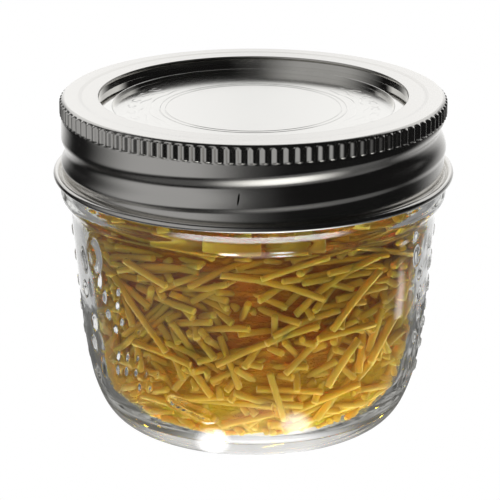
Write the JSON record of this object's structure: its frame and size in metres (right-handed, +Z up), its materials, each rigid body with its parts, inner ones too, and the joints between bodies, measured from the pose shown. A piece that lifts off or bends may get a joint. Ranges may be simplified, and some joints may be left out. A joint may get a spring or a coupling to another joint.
{
  "type": "jar of dry noodles",
  "caption": "Small squat clear glass jar filled with short dry noodles, closed by a flat metal lid held down by a knurled screw band.",
  "frame": {"origin": "centre of the glass ring that the jar stands on, at the level of the surface under it", "axes": "+Z up along the axis of the jar, -Y to the front, where the screw groove of the band starts, +X to the right seen from the front"},
  "size_m": [0.074, 0.074, 0.0609],
  "materials": {
    "clear_glass": "clear pressed glass, smooth in front with pressed ovals and dashes at the sides",
    "dry_pasta": "dry semolina noodles, matt to faintly waxy, yellow to amber",
    "lid_metal": "satin tin plate with fine stamped rings",
    "band_metal": "bright satin tin plate, rolled and knurled"
  },
  "bodies": {
    "root": {"jar": "clear_glass", "noodles": "dry_pasta", "lid": "lid_metal", "screw_band": "band_metal"}
  },
  "joints": []
}
